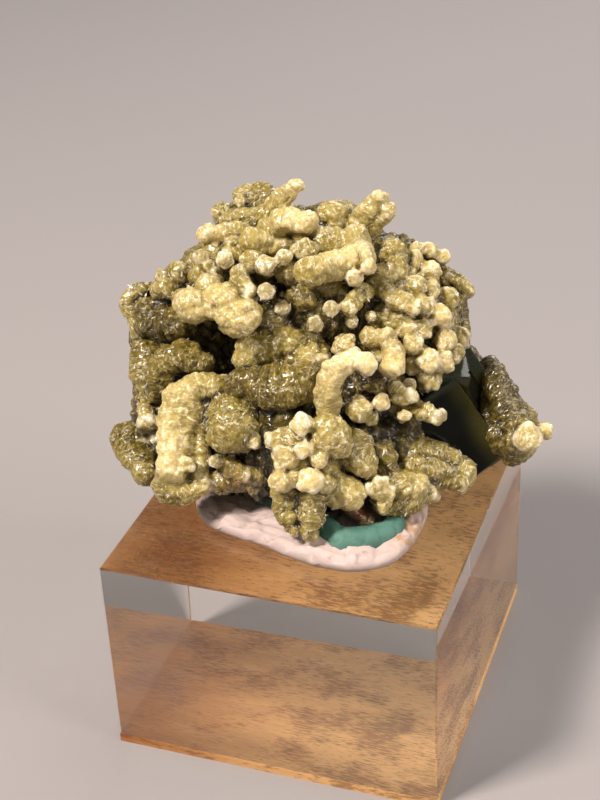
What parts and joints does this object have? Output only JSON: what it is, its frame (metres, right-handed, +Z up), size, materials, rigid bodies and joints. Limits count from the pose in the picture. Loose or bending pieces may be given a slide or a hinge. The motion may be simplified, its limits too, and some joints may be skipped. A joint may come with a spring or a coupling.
{
  "type": "fluorite specimen",
  "caption": "Dark green fluorite crystals under a crust of knobbly mica fingers, held with putty on a clear acrylic display block with a wood sheet under it.",
  "frame": {"origin": "centre of the wood sheet's underside, on the surface that the block stands on", "axes": "+Z up through the block and the specimen; -Y towards the front face, the side that the specimen is shown from; +X to the right"},
  "size_m": [0.0427, 0.0343, 0.0501],
  "materials": {
    "clear_acrylic": "clear, polished",
    "wood_sheet": "fine straight grain, unvarnished",
    "green_fluorite": "dark green, glassy crystal faces",
    "green_mica": "yellow-green to olive, scaly with a pearly sparkle",
    "teal_putty": "matt, pressed and creased",
    "white_putty": "matt, pressed and creased"
  },
  "bodies": {
    "root": {"acrylic_block": "clear_acrylic", "wood_sheet": "wood_sheet", "fluorite_crystals": "green_fluorite", "mica_crust": "green_mica", "teal_putty": "teal_putty", "white_putty": "white_putty"}
  },
  "joints": []
}
